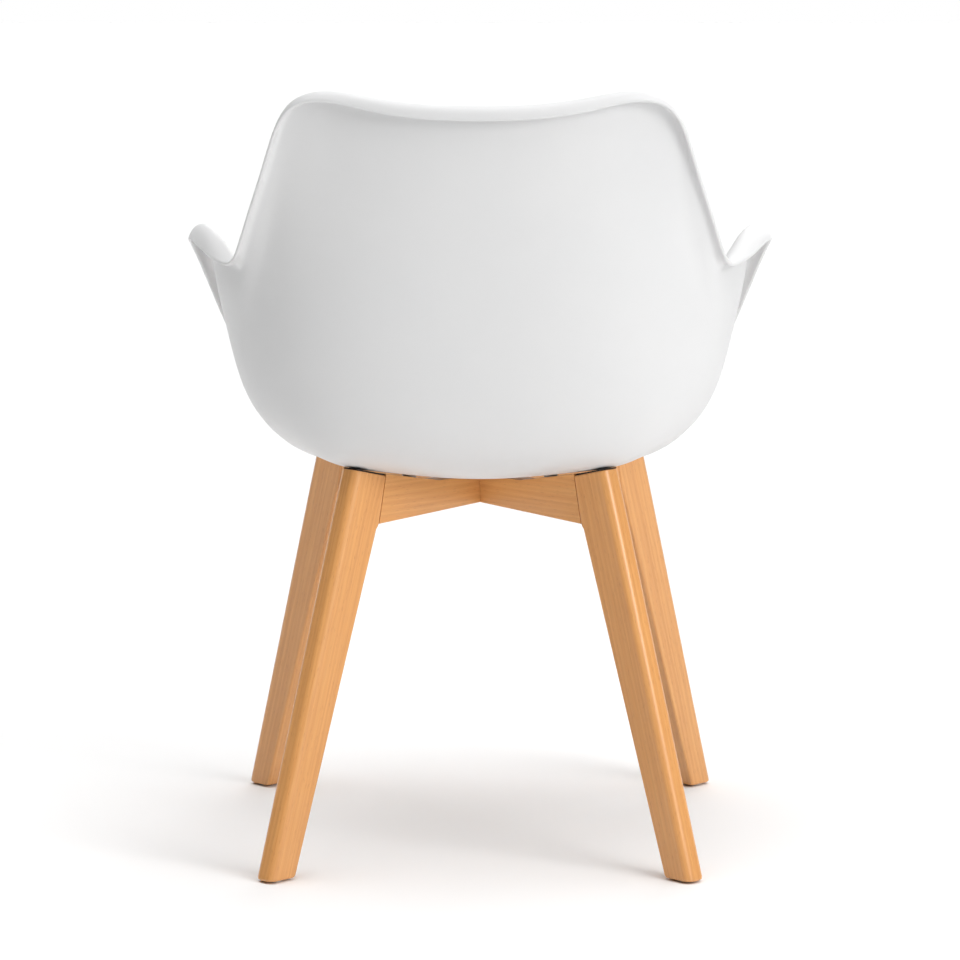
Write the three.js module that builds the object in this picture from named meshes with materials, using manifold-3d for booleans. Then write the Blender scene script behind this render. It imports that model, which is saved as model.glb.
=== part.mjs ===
// Dining chair: a moulded plastic tub shell with arms, a loose seat pad and a crossed beech frame
// on four splayed legs. Millimetres, +Z up, the sitter faces -Y, and +X is the sitter's left.
// Heights are above the floor. Plan positions are worked out from the crossing of the two boards,
// and the whole group is moved by FRAME_SHIFT at the end.
import * as THREE from "three";
import { mergeVertices } from "three/addons/utils/BufferGeometryUtils.js";
import Module from "manifold-3d";

const FRAME_SHIFT = [0, 21.3, 0]; // puts the origin under the middle of the chair's outline
const GAP = 0.3; // clearance left between two separate pieces

// ---- shell -------------------------------------------------------------------------------
const SHELL_THICKNESS = 4.4;
const SHELL_STEPS_ROUND = 76; // round the rim
const SHELL_STEPS_WALL = 12; // from the seat's middle to the foot of the rolled rim
const SHELL_STEPS_LIP = 6; // over the rolled rim
// Control points of the seat side of the shell, half of each ring from the middle of the back
// round the corner, down to the arm, along the arm and round the front to the middle of the seat.
const SEAT_CENTRE = [0, 0, 403.6];
const FLOOR_RING = [
  [0, 76, 404.6], [22, 76, 405.2], [42, 72, 405.8], [60, 66, 407], [72, 60, 407.5], [78, 54, 407.5],
  [82, 46, 407], [86, 38, 407], [88, 30, 406.5], [90, 22, 406], [92, 12, 405.5], [93, 2, 405],
  [93, -14, 405], [90, -32, 405], [85, -50, 405.5], [78, -66, 405.5], [66, -80, 405.5], [46, -90, 405],
  [24, -94, 405], [0, -96, 405],
];
const FOOT_RING = [
  [0, 130, 413.5], [36, 129, 414], [70, 123, 416.5], [97, 112, 418.5], [113, 101, 419.5], [123, 91, 421.5],
  [131, 80, 422], [138, 66, 422], [143, 52, 420], [146, 38, 418], [148, 20, 417], [149, 0, 416],
  [149, -26, 416], [147, -58, 416], [143, -92, 415], [135, -128, 413], [120, -158, 414],
  [88, -175, 416], [46, -182, 419], [0, -184, 420],
];
const KNEE_RING = [
  [0, 180, 434], [52, 178, 434], [98, 171, 433], [138, 161, 430], [164, 146, 426], [174, 127, 429.5],
  [181, 107, 431], [189, 90, 433], [195, 73, 434], [199, 54, 432], [201, 31, 432], [202, 3, 432],
  [202, -34, 432], [199, -80, 431], [194, -130, 428], [187, -175, 429], [170, -213, 433],
  [123, -233, 438], [65, -240, 438], [0, -242, 438],
];
const LOW_RING = [
  [0, 203, 508], [64, 201, 508], [122, 191, 507], [168, 173, 505], [197, 155, 502], [217, 137, 498],
  [231, 119, 494], [240, 103, 491], [245, 87, 489], [248, 69, 488], [250, 44, 487], [251, 12, 487],
  [251, -32, 486], [247, -84, 482], [239, -140, 472], [226, -190, 458], [196, -234, 446],
  [138, -256, 441], [70, -262, 441], [0, -264, 441],
];
const MID_RING = [
  [0, 214, 612], [64, 212, 613], [122, 203, 614], [168, 187, 612], [196, 170, 606], [214, 154, 596],
  [229, 138, 586], [240, 124, 574], [248, 110, 564], [253, 93, 558], [260, 62, 556], [266, 26, 556],
  [268, -24, 554], [266, -84, 542], [256, -146, 516], [240, -198, 484], [206, -246, 454],
  [144, -266, 444], [74, -272, 444], [0, -274, 444],
];
const HIGH_RING = [
  [0, 228, 724], [60, 226, 726], [114, 217, 730], [154, 206, 734], [182, 196, 724], [200, 182, 694],
  [213, 167, 662], [225, 153, 634], [236, 139, 610], [249, 120, 596], [265, 86, 600], [278, 46, 612],
  [283, -12, 614], [282, -78, 600], [270, -144, 560], [251, -204, 500], [217, -252, 456],
  [150, -272, 444], [78, -278, 444], [0, -280, 444],
];
const RIM_RING = [
  [0, 240, 790], [58, 238, 791], [110, 231, 799], [149, 222, 808], [186, 214, 803], [199, 201, 764],
  [214, 185, 718], [226, 170, 682], [235, 155, 650], [243, 135, 616], [258, 100, 632], [274, 56, 650],
  [287, -8, 651], [288, -76, 632], [278, -146, 582], [257, -210, 512], [222, -258, 456],
  [154, -278, 442], [80, -284, 442], [0, -286, 442],
];
// The rolled rim at the same twenty places: length along the roll, and how far it turns over.
const LIP = [
  [33, 165], [33, 165], [31, 160], [28, 145], [24, 120], [19, 84], [15, 58], [15, 52],
  [16, 60], [25, 100], [46, 138], [54, 160], [46, 156], [36, 132], [28, 112], [26, 100],
  [30, 95], [34, 90], [34, 90], [34, 90],
];

// ---- seat pad ----------------------------------------------------------------------------
const PAD = {
  halfWidth: 208, front: -234, rear: 172, corner: 3.4, height: 47, crown: 7, edge: 12, clearance: 7,
};
const PAD_STEPS_ROUND = 56;

// ---- crossed boards and legs --------------------------------------------------------------
const LEG_THICKNESS = 26;
const LEG_ROUND_OUTER = 9;
const LEG_ROUND_INNER = 2.5;
const BOARD_THICKNESS = 24.5;
const LEG_TOP_SLOPE = 0.235; // rise of the leg tops away from the middle
const LEG_TOP_INNER_Z = 410.7; // height of the leg top at the joint with the board
const BOARD_MIDDLE = { top: 398.4, bottom: 369.5 };
const BOARD_END_TOP = 412.6;
const BOARD_TOP_SLOPE = 0.18;
const JOINT_BOTTOM_Z = 361;
const FOOT_Z = 2.2; // the glide under each foot
// Radii along each arm of the cross, measured at the rear; the front ones are this much longer.
const FRONT_ARM_EXTRA = 50;
const RADIUS = { jointTop: 151.5, jointBottom: 161.5, legTopOuter: 195, footInner: 284.5, footOuter: 319.5 };
const FOOT_CHAMFER = 3;

// ---- fixings -------------------------------------------------------------------------------
const LEG_PAD = { from: 153, to: 191, width: 21, thickness: 1.4 }; // rubber, on the leg's sloping top
const BOLT = { radius: 106, shank: 6, head: 11, headHeight: 5.5, edge: 0.8, socket: 2.9, recess: 9 };
const WASHER = { radius: 8, thickness: 1.1 };
const BOSS = { diameter: 14.5, depth: 7, insert: 8.6, skin: 2.2 }; // depth is how far it enters the board
const CROSS_SCREW = { shank: 4, head: 8, headHeight: 2.6, length: 22 };
const DOWEL = { diameter: 8, length: 46, heights: [373, 397] };
const GLIDE = { diameter: 17, pin: 3.4, pinLength: 14 };

const ARMS = [
  { name: "rear_left", angle: 45, extra: 0 },
  { name: "rear_right", angle: 135, extra: 0 },
  { name: "front_right", angle: 225, extra: FRONT_ARM_EXTRA },
  { name: "front_left", angle: 315, extra: FRONT_ARM_EXTRA },
];

const COLOUR = {
  shell: 0xf2f2f1, pad: 0xe9e8e5, wood: 0xdca873, black: 0x1c1c1d, zinc: 0xb4b6b8, brass: 0xb9973f,
  nylon: 0xd9d6cf,
};

const wasm = await Module();
wasm.setup();
const chair = new THREE.Group();
chair.name = "dining_chair";

// ---- small tools ---------------------------------------------------------------------------
const add3 = (a, b, k = 1) => [a[0] + b[0] * k, a[1] + b[1] * k, a[2] + b[2] * k];
const dot3 = (a, b) => a[0] * b[0] + a[1] * b[1] + a[2] * b[2];
const cross3 = (a, b) => [
  a[1] * b[2] - a[2] * b[1],
  a[2] * b[0] - a[0] * b[2],
  a[0] * b[1] - a[1] * b[0],
];
const unit3 = (a) => a.map((x) => x / Math.hypot(...a));

// Triangles from a list of points and a list of index triples.
function geometryOf(points, faces) {
  const g = new THREE.BufferGeometry();
  g.setAttribute("position", new THREE.Float32BufferAttribute(points.flat(), 3));
  g.setIndex(faces.flat());
  return g;
}

function solidOf(geometry) {
  const bare = new THREE.BufferGeometry();
  bare.setAttribute("position", geometry.getAttribute("position"));
  bare.setIndex(geometry.index);
  const merged = mergeVertices(bare, 1e-3);
  return new wasm.Manifold(
    new wasm.Mesh({
      numProp: 3,
      vertProperties: merged.attributes.position.array,
      triVerts: new Uint32Array(merged.index.array),
    }),
  );
}

function geometryOfSolid(solid) {
  const mesh = solid.getMesh();
  const g = new THREE.BufferGeometry();
  g.setAttribute("position", new THREE.BufferAttribute(new Float32Array(mesh.vertProperties), 3));
  g.setIndex(new THREE.BufferAttribute(new Uint32Array(mesh.triVerts), 1));
  return g;
}

function piece(name, geometry, colour, roughness = 0.6, metalness = 0) {
  const flat = geometry.index ? geometry.toNonIndexed() : geometry;
  flat.computeVertexNormals();
  const mesh = new THREE.Mesh(flat, new THREE.MeshStandardMaterial({ color: colour, roughness, metalness }));
  mesh.name = name;
  chair.add(mesh);
  return mesh;
}

// A closed body through a stack of rings with the same number of points, capped at both ends.
function loft(rings) {
  const n = rings[0].length;
  const points = rings.flat();
  const faces = [];
  for (let k = 0; k + 1 < rings.length; k++) {
    for (let i = 0; i < n; i++) {
      const j = (i + 1) % n;
      const a = k * n + i;
      const b = k * n + j;
      faces.push([a, b, b + n], [a, b + n, a + n]);
    }
  }
  const last = (rings.length - 1) * n;
  for (let i = 1; i + 1 < n; i++) {
    faces.push([0, i + 1, i], [last, last + i, last + i + 1]);
  }
  return geometryOf(points, faces);
}

// Turned body: profile of [radius, height] from the axis at the bottom to the axis at the top.
function turned(profile, segments = 20) {
  const rings = profile.filter(([r]) => r > 0);
  const stack = rings.map(([r, z]) =>
    Array.from({ length: segments }, (_, i) => {
      const a = (2 * Math.PI * i) / segments;
      return [r * Math.cos(a), r * Math.sin(a), z];
    }),
  );
  return solidOf(loft(stack));
}

// A local frame on one arm of the cross: x outward along the arm, y across it, z up.
const onArm = (solid, arm) => solid.rotate([0, 0, arm.angle]);

// ---- the shell's surface -------------------------------------------------------------------
const weights = (f) => [
  (1 - f) ** 3 / 6,
  (3 * f ** 3 - 6 * f ** 2 + 4) / 6,
  (-3 * f ** 3 + 3 * f ** 2 + 3 * f + 1) / 6,
  f ** 3 / 6,
];
const slopes = (f) => [
  -((1 - f) ** 2) / 2,
  (9 * f ** 2 - 12 * f) / 6,
  (-9 * f ** 2 + 6 * f + 3) / 6,
  f ** 2 / 2,
];

// Both halves of a ring: the given half, then its mirror image back to the start.
function wholeRing(half, mirror) {
  const back = half.slice(1, -1).reverse();
  return [...half, ...back.map(mirror)];
}

// A point of the closed smooth curve that a ring of control values guides, or its derivative.
function roundRing(ring, u, basis = weights) {
  const whole = Math.floor(u);
  const w = basis(u - whole);
  const out = new Array(ring[0].length).fill(0);
  for (let k = 0; k < 4; k++) {
    const at = ring[(whole + k - 1 + ring.length) % ring.length];
    for (let c = 0; c < out.length; c++) out[c] += w[k] * at[c];
  }
  return out;
}

// Weights of n control points on a clamped uniform cubic curve, by the usual recurrence.
function clampedWeights(n, v) {
  const spans = n - 3;
  const knot = (i) => Math.min(Math.max(i - 3, 0), spans) / spans;
  const at = Math.min(v, 1 - 1e-9);
  let basis = Array.from({ length: n + 3 }, (_, i) => (knot(i) <= at && at < knot(i + 1) ? 1 : 0));
  for (let d = 1; d <= 3; d++) {
    const next = [];
    for (let i = 0; i < n + 3 - d; i++) {
      const left = knot(i + d) - knot(i);
      const right = knot(i + d + 1) - knot(i + 1);
      const a = left > 0 ? ((at - knot(i)) / left) * basis[i] : 0;
      const b = right > 0 ? ((knot(i + d + 1) - at) / right) * basis[i + 1] : 0;
      next.push(a + b);
    }
    basis = next;
  }
  return basis;
}

const mirrorX = ([x, y, z]) => [-x, y, z];
const RINGS = [FLOOR_RING, FOOT_RING, KNEE_RING, LOW_RING, MID_RING, HIGH_RING, RIM_RING].map((half) =>
  wholeRing(half, mirrorX),
);
const LIP_RING = wholeRing(LIP, (pair) => pair);
const AROUND = RINGS[0].length;

// One spoke of the shell, from the seat's middle over the rim: points with outward normals.
function shellSpoke(u, wallSteps, lipSteps) {
  const nets = RINGS.map((ring) => roundRing(ring, u));
  const turns = RINGS.map((ring) => roundRing(ring, u, slopes));
  const column = [SEAT_CENTRE, ...nets];
  const turning = [[0, 0, 0], ...turns];
  const spoke = [];
  for (let i = 1; i <= wallSteps; i++) {
    const v = i / wallSteps;
    const w = clampedWeights(column.length, v);
    const ahead = clampedWeights(column.length, Math.min(v + 1e-4, 1));
    const behind = clampedWeights(column.length, Math.max(v - 1e-4, 0));
    let at = [0, 0, 0];
    let up = [0, 0, 0];
    let along = [0, 0, 0];
    for (let k = 0; k < column.length; k++) {
      at = add3(at, column[k], w[k]);
      up = add3(up, column[k], ahead[k] - behind[k]);
      along = add3(along, turning[k], w[k]);
    }
    spoke.push({ at, out: unit3(cross3(up, along)), up, along });
  }
  const rim = spoke[spoke.length - 1];
  const along = unit3(rim.along);
  const rise = unit3(add3(rim.up, along, -dot3(rim.up, along)));
  const out = rim.out;
  const [length, degrees] = roundRing(LIP_RING, u);
  const turn = (degrees * Math.PI) / 180;
  const fine = 12;
  let at = rim.at;
  for (let i = 1; i <= lipSteps; i++) {
    let angle = 0;
    for (let k = 0; k < fine; k++) {
      const t = (i - 1 + (k + 0.5) / fine) / lipSteps;
      angle = turn * t * t * (3 - 2 * t);
      at = add3(at, rise, (Math.cos(angle) * length) / (lipSteps * fine));
      at = add3(at, out, (Math.sin(angle) * length) / (lipSteps * fine));
    }
    const t = i / lipSteps;
    angle = turn * t * t * (3 - 2 * t);
    const facing = add3(out.map((c) => c * Math.cos(angle)), rise, -Math.sin(angle));
    spoke.push({ at, out: facing });
  }
  return spoke;
}

function shellGeometry() {
  const spokes = [];
  for (let i = 0; i < SHELL_STEPS_ROUND; i++) {
    spokes.push(shellSpoke((i * AROUND) / SHELL_STEPS_ROUND, SHELL_STEPS_WALL, SHELL_STEPS_LIP));
  }
  const rows = spokes[0].length;
  const points = [SEAT_CENTRE, add3(SEAT_CENTRE, [0, 0, -SHELL_THICKNESS])];
  for (const spoke of spokes) {
    for (const { at } of spoke) points.push(at);
    for (const { at, out } of spoke) points.push(add3(at, out, SHELL_THICKNESS));
  }
  const inner = (i, r) => 2 + (i % SHELL_STEPS_ROUND) * rows * 2 + r;
  const outer = (i, r) => inner(i, r) + rows;
  const faces = [];
  for (let i = 0; i < SHELL_STEPS_ROUND; i++) {
    faces.push([0, inner(i + 1, 0), inner(i, 0)]);
    faces.push([1, outer(i, 0), outer(i + 1, 0)]);
    for (let r = 0; r + 1 < rows; r++) {
      faces.push([inner(i, r), inner(i + 1, r), inner(i + 1, r + 1)]);
      faces.push([inner(i, r), inner(i + 1, r + 1), inner(i, r + 1)]);
      faces.push([outer(i, r), outer(i + 1, r + 1), outer(i + 1, r)]);
      faces.push([outer(i, r), outer(i, r + 1), outer(i + 1, r + 1)]);
    }
    const r = rows - 1;
    faces.push([inner(i, r), inner(i + 1, r), outer(i + 1, r)]);
    faces.push([inner(i, r), outer(i + 1, r), outer(i, r)]);
  }
  return geometryOf(points, faces);
}

// Triangles of the seat side of the shell below the rim, for measuring its height.
const seatTriangles = [];
for (let i = 0; i < SHELL_STEPS_ROUND; i++) {
  const [one, two] = [i, i + 1].map((k) => [
    { at: SEAT_CENTRE },
    ...shellSpoke((k * AROUND) / SHELL_STEPS_ROUND, SHELL_STEPS_WALL, 1).slice(0, SHELL_STEPS_WALL),
  ]);
  for (let r = 0; r < SHELL_STEPS_WALL; r++) {
    seatTriangles.push([one[r].at, two[r].at, two[r + 1].at]);
    seatTriangles.push([one[r].at, two[r + 1].at, one[r + 1].at]);
  }
}

// Lowest height of the seat side of the shell over a plan position, or Infinity outside it.
function seatHeight(x, y) {
  let lowest = Infinity;
  for (const [a, b, c] of seatTriangles) {
    const whole = (b[1] - c[1]) * (a[0] - c[0]) + (c[0] - b[0]) * (a[1] - c[1]);
    if (Math.abs(whole) < 1e-9) continue;
    const u = ((b[1] - c[1]) * (x - c[0]) + (c[0] - b[0]) * (y - c[1])) / whole;
    const v = ((c[1] - a[1]) * (x - c[0]) + (a[0] - c[0]) * (y - c[1])) / whole;
    if (u < -1e-9 || v < -1e-9 || u + v > 1 + 1e-9) continue;
    lowest = Math.min(lowest, u * a[2] + v * b[2] + (1 - u - v) * c[2]);
  }
  return lowest;
}

// ---- the cross, the legs and their fixings --------------------------------------------------
// Solids on one arm are made with the arm along +X, then turned into place.
const jointAt = (z) =>
  RADIUS.jointBottom +
  ((RADIUS.jointTop - RADIUS.jointBottom) * (z - JOINT_BOTTOM_Z)) / (LEG_TOP_INNER_Z - JOINT_BOTTOM_Z);
const legTop = (r, extra) => LEG_TOP_INNER_Z + LEG_TOP_SLOPE * (r - RADIUS.jointTop - extra);
const boardTop = (r, extra) =>
  Math.max(BOARD_MIDDLE.top, BOARD_END_TOP + BOARD_TOP_SLOPE * (r - RADIUS.jointTop - extra));

// Prism of a profile of [radius, height] points, centred across the arm.
function prism(profile, thickness) {
  const ring = (y) => profile.map(([r, z]) => [r, y, z]);
  return solidOf(loft([ring(thickness / 2), ring(-thickness / 2)]));
}

// A level rod along the arm, from one radius outward, at one height.
function rod(radius, length, from, z, segments = 14) {
  return turned([[radius, 0], [radius, length]], segments).rotate([0, 90, 0]).translate([from, 0, z]);
}

// Outline of a leg at one height: eased inner corners and well rounded outer ones.
function legOutline(inner, outer, inset = 0) {
  const half = LEG_THICKNESS / 2 - inset;
  const corners = [
    { x: outer - inset, y: half, radius: LEG_ROUND_OUTER, start: 0, steps: 5 },
    { x: inner + inset, y: half, radius: LEG_ROUND_INNER, start: 90, steps: 2 },
    { x: inner + inset, y: -half, radius: LEG_ROUND_INNER, start: 180, steps: 2 },
    { x: outer - inset, y: -half, radius: LEG_ROUND_OUTER, start: 270, steps: 5 },
  ];
  const outline = [];
  for (const { x, y, radius, start, steps } of corners) {
    const cx = x - radius * Math.sign(x - (inner + outer) / 2);
    const cy = y - radius * Math.sign(y);
    for (let k = 0; k <= steps; k++) {
      const a = ((start + (90 * k) / steps) * Math.PI) / 180;
      outline.push([cx + radius * Math.cos(a), cy + radius * Math.sin(a)]);
    }
  }
  return outline;
}

function legSolid(extra) {
  const r = Object.fromEntries(Object.entries(RADIUS).map(([k, v]) => [k, v + extra]));
  const outerAt = (z) => r.footOuter + ((r.legTopOuter - r.footOuter) * z) / legTop(r.legTopOuter, extra);
  const innerAt = (z) => r.footInner + ((r.jointBottom + 2 - r.footInner) * z) / JOINT_BOTTOM_Z;
  const flat = (z, inset = 0) => legOutline(innerAt(z), outerAt(z), inset).map(([x, y]) => [x, y, z]);
  const jointOutline = legOutline(r.jointBottom + GAP, outerAt(JOINT_BOTTOM_Z));
  const joint = jointOutline.map(([x, y]) => [x, y, JOINT_BOTTOM_Z]);
  const top = legOutline(r.jointTop + GAP, r.legTopOuter).map(([x, y]) => [x, y, legTop(x, extra)]);
  return solidOf(
    loft([flat(FOOT_Z, FOOT_CHAMFER), flat(FOOT_Z + FOOT_CHAMFER), flat(JOINT_BOTTOM_Z - 5), joint, top]),
  );
}

// Side view of one board, from the front leg to the rear leg.
function boardProfile() {
  const side = (extra, sign) => {
    const end = jointAt(BOARD_END_TOP) + extra;
    const low = RADIUS.jointBottom + extra;
    const flatTo = end - (BOARD_END_TOP - BOARD_MIDDLE.top) / BOARD_TOP_SLOPE;
    return [
      [sign * flatTo, BOARD_MIDDLE.top],
      [sign * end, BOARD_END_TOP],
      [sign * low, JOINT_BOTTOM_Z],
    ];
  };
  const rear = side(0, 1);
  const front = side(FRONT_ARM_EXTRA, -1);
  return [...rear, [0, BOARD_MIDDLE.bottom], ...front.reverse()].reverse();
}

function boardSolid(slotFromTop) {
  const board = prism(boardProfile(), BOARD_THICKNESS);
  const middle = (BOARD_MIDDLE.top + BOARD_MIDDLE.bottom) / 2;
  const slot = { width: BOARD_THICKNESS + 2 * GAP, across: 60, height: 40 };
  const cutter = solidOf(new THREE.BoxGeometry(slot.width, slot.across, slot.height));
  const away = (slot.height - GAP) / 2;
  return board.subtract(cutter.translate([0, 0, middle + (slotFromTop ? away : -away)]));
}

// Rubber pad lying on a leg's sloping top.
function legPadSolid(extra) {
  const corner = (r, lift) => [r + extra, legTop(r + extra, extra) + lift];
  const low = GAP;
  const high = GAP + LEG_PAD.thickness;
  const { from, to } = LEG_PAD;
  return prism([corner(to, low), corner(to, high), corner(from, high), corner(from, low)], LEG_PAD.width);
}

// Countersunk screw that holds the half-lap joint, up from below, and the hole for it.
function crossScrewSolid(clearance) {
  const bottom = BOARD_MIDDLE.bottom + 0.6;
  const neck = bottom + CROSS_SCREW.headHeight;
  const shank = CROSS_SCREW.shank / 2 + clearance;
  const head = CROSS_SCREW.head / 2 + clearance;
  return turned(
    [
      ...(clearance ? [[head, bottom - 5]] : []),
      [head, bottom],
      [shank, neck],
      [shank, bottom + CROSS_SCREW.length + clearance],
    ],
    20,
  );
}

const boltBottom = (r) =>
  BOARD_MIDDLE.bottom + ((JOINT_BOTTOM_Z - BOARD_MIDDLE.bottom) * r) / RADIUS.jointBottom;

function boltSolids(extra) {
  const r = BOLT.radius + extra;
  const seat = boltBottom(r) + BOLT.recess;
  const top = boardTop(r, extra) + 1;
  const head = BOLT.head / 2;
  const headTop = seat - WASHER.thickness - 2 * GAP;
  const headBottom = headTop - BOLT.headHeight;
  const socket = turned([[BOLT.socket, headBottom - 1], [BOLT.socket, headBottom + BOLT.socket]], 6);
  const bolt = turned([
    [head - BOLT.edge, headBottom],
    [head, headBottom + BOLT.edge],
    [head, headTop],
    [BOLT.shank / 2, headTop],
    [BOLT.shank / 2, top],
  ]).subtract(socket);
  const eye = BOLT.shank / 2 + GAP;
  const washer = turned([[WASHER.radius, seat - GAP - WASHER.thickness], [WASHER.radius, seat - GAP]], 24)
    .subtract(turned([[eye, seat - 3], [eye, seat + 3]]));
  const pocket = BOSS.diameter / 2 + GAP;
  const bossBase = boardTop(r, extra) - BOSS.depth;
  const hole = turned([
    [WASHER.radius + 2 * GAP, seat - 30],
    [WASHER.radius + 2 * GAP, seat],
    [eye, seat],
    [eye, top + 15],
  ]).add(turned([[pocket, bossBase - 2 * GAP], [pocket, top + 15]], 28));
  const insertBase = bossBase + GAP;
  const across = r * Math.SQRT1_2;
  const insertTop = seatHeight(across, extra ? -across : across) - BOSS.skin;
  const bore = turned([[eye, insertBase - 5], [eye, insertBase + 20]]);
  const insert = turned([[BOSS.insert / 2, insertBase], [BOSS.insert / 2, insertTop - GAP]], 20);
  return {
    bolt: bolt.translate([r, 0, 0]),
    washer: washer.translate([r, 0, 0]),
    hole: hole.translate([r, 0, 0]),
    insert: insert.subtract(bore).translate([r, 0, 0]),
    insertTop,
    radius: r,
  };
}

// Round boss under the shell for one bolt, let into the top of the board, and the well in it.
function bossSolids(arm) {
  const { radius, insertTop } = boltSolids(arm.extra);
  const lower = boardTop(radius, arm.extra) - BOSS.depth;
  const boss = turned([[BOSS.diameter / 2, lower], [BOSS.diameter / 2, insertTop]], 28);
  const well = turned([[BOSS.insert / 2 + GAP, lower - 5], [BOSS.insert / 2 + GAP, insertTop]]);
  const out = [radius, 0, 0];
  return { boss: onArm(boss.translate(out), arm), well: onArm(well.translate(out), arm) };
}

function dowelSolids(extra) {
  return DOWEL.heights.map((z) => {
    const from = extra + jointAt(z) - DOWEL.length / 2;
    const radius = DOWEL.diameter / 2;
    return {
      dowel: rod(radius, DOWEL.length, from, z),
      hole: rod(radius + GAP, DOWEL.length + 2 * GAP, from - GAP, z),
    };
  });
}

// ---- put the pieces together ----------------------------------------------------------------
const boards = { a: boardSolid(true).rotate([0, 0, 45]), b: boardSolid(false).rotate([0, 0, 135]) };
let shell = solidOf(shellGeometry());

for (const arm of ARMS) {
  const boardKey = arm.angle % 180 === 45 ? "a" : "b";
  const holes = [];
  const { bolt, washer, hole, insert } = boltSolids(arm.extra);
  holes.push(hole);
  const dowels = dowelSolids(arm.extra);
  for (const { hole: cut } of dowels) holes.push(cut);
  const foot = (RADIUS.footInner + RADIUS.footOuter) / 2 + arm.extra;
  const glide = turned(
    [
      [GLIDE.diameter / 2 - 1, 0],
      [GLIDE.diameter / 2, 0.9],
      [GLIDE.diameter / 2, FOOT_Z - GAP],
      [GLIDE.pin / 2, FOOT_Z - GAP],
      [GLIDE.pin / 2, FOOT_Z + GLIDE.pinLength],
    ],
    24,
  ).translate([foot, 0, 0]);
  const pinHole = turned([
    [GLIDE.pin / 2 + 0.25, FOOT_Z - 3],
    [GLIDE.pin / 2 + 0.25, FOOT_Z + GLIDE.pinLength + 0.5],
  ]).translate([foot, 0, 0]);

  let leg = onArm(legSolid(arm.extra).subtract(pinHole), arm);
  for (const cut of holes) {
    const placed = onArm(cut, arm);
    leg = leg.subtract(placed);
    boards[boardKey] = boards[boardKey].subtract(placed);
  }
  const { boss, well } = bossSolids(arm);
  shell = shell.add(boss).subtract(well);

  piece(`leg_${arm.name}`, geometryOfSolid(leg), COLOUR.wood, 0.5);
  piece(`leg_pad_${arm.name}`, geometryOfSolid(onArm(legPadSolid(arm.extra), arm)), COLOUR.black, 0.8);
  piece(`shell_bolt_${arm.name}`, geometryOfSolid(onArm(bolt, arm)), COLOUR.zinc, 0.35, 1);
  piece(`bolt_washer_${arm.name}`, geometryOfSolid(onArm(washer, arm)), COLOUR.zinc, 0.35, 1);
  piece(`shell_insert_${arm.name}`, geometryOfSolid(onArm(insert, arm)), COLOUR.brass, 0.4, 1);
  dowels.forEach(({ dowel }, i) => {
    piece(`leg_dowel_${arm.name}_${i + 1}`, geometryOfSolid(onArm(dowel, arm)), COLOUR.wood, 0.7);
  });
  piece(`foot_glide_${arm.name}`, geometryOfSolid(onArm(glide, arm)), COLOUR.nylon, 0.6);
}
for (const [key, board] of Object.entries(boards)) {
  piece(`cross_board_${key}`, geometryOfSolid(board.subtract(crossScrewSolid(GAP))), COLOUR.wood, 0.5);
}
piece("cross_screw", geometryOfSolid(crossScrewSolid(0)), COLOUR.zinc, 0.4, 1);
piece("shell", geometryOfSolid(shell), COLOUR.shell, 0.45);

// ---- the seat pad ----------------------------------------------------------------------------
// Distance from the pad's middle, in one direction, at which the shell rises to a height.
function reachTo(height, centre, direction) {
  let near = 60;
  let far = 330;
  for (let k = 0; k < 24; k++) {
    const middle = (near + far) / 2;
    const z = seatHeight(centre[0] + direction[0] * middle, centre[1] + direction[1] * middle);
    if (z < height) near = middle;
    else far = middle;
  }
  return near;
}

// The pad's plan outline: a rounded square kept clear of the shell's wall by a smooth minimum.
function padOutline() {
  const centre = [0, (PAD.front + PAD.rear) / 2];
  const halfDepth = (PAD.rear - PAD.front) / 2;
  const outline = [];
  for (let i = 0; i < PAD_STEPS_ROUND; i++) {
    const a = (2 * Math.PI * i) / PAD_STEPS_ROUND;
    const direction = [Math.cos(a), Math.sin(a)];
    const k = PAD.corner;
    const sideways = Math.abs(direction[0]) / PAD.halfWidth;
    const lengthways = Math.abs(direction[1]) / halfDepth;
    const square = (sideways ** k + lengthways ** k) ** (-1 / k);
    const wall = reachTo(SEAT_CENTRE[2] + PAD.height - PAD.edge, centre, direction) - PAD.clearance;
    const reach = (square ** -9 + wall ** -9) ** (-1 / 9);
    outline.push([direction[0] * reach, direction[1] * reach]);
  }
  return { centre, outline };
}

function padGeometry() {
  const { centre, outline } = padOutline();
  const ring = (scale, height) =>
    outline.map(([dx, dy]) => {
      const x = centre[0] + dx * scale;
      const y = centre[1] + dy * scale;
      return [x, y, height(x, y)];
    });
  const under = (x, y) => seatHeight(x, y) + 1.4;
  const topAt = (scale) => SEAT_CENTRE[2] + PAD.height + PAD.crown * (1 - scale ** 2);
  const rings = [0.12, 0.35, 0.55, 0.7, 0.8].map((k) => ring(k, under));
  rings.push(ring(0.91, (x, y) => under(x, y) + 2));
  rings.push(ring(1, () => SEAT_CENTRE[2] + PAD.height - PAD.edge));
  rings.push(ring(0.985, () => SEAT_CENTRE[2] + PAD.height - PAD.edge / 3));
  for (const k of [0.95, 0.85, 0.65, 0.4, 0.12]) rings.push(ring(k, () => topAt(k)));
  return loft(rings);
}
piece("seat_pad", padGeometry(), COLOUR.pad, 0.6);

chair.position.set(...FRAME_SHIFT);
export default chair;
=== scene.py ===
"""Dining chair: moulded white tub shell with arms, upholstered pad, beech cross frame and legs.

Blender 4.5. Metres, +Z up, the sitter faces -Y, +X is the sitter's left. The CAD model is the
frame; the shell, the pad and the legs are remade here at full detail, and the other nodes keep
their CAD shape with softened edges.
"""

import math

import bmesh
import bpy
import numpy as np
from mathutils import Matrix, Vector
from mathutils.bvhtree import BVHTree


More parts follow.
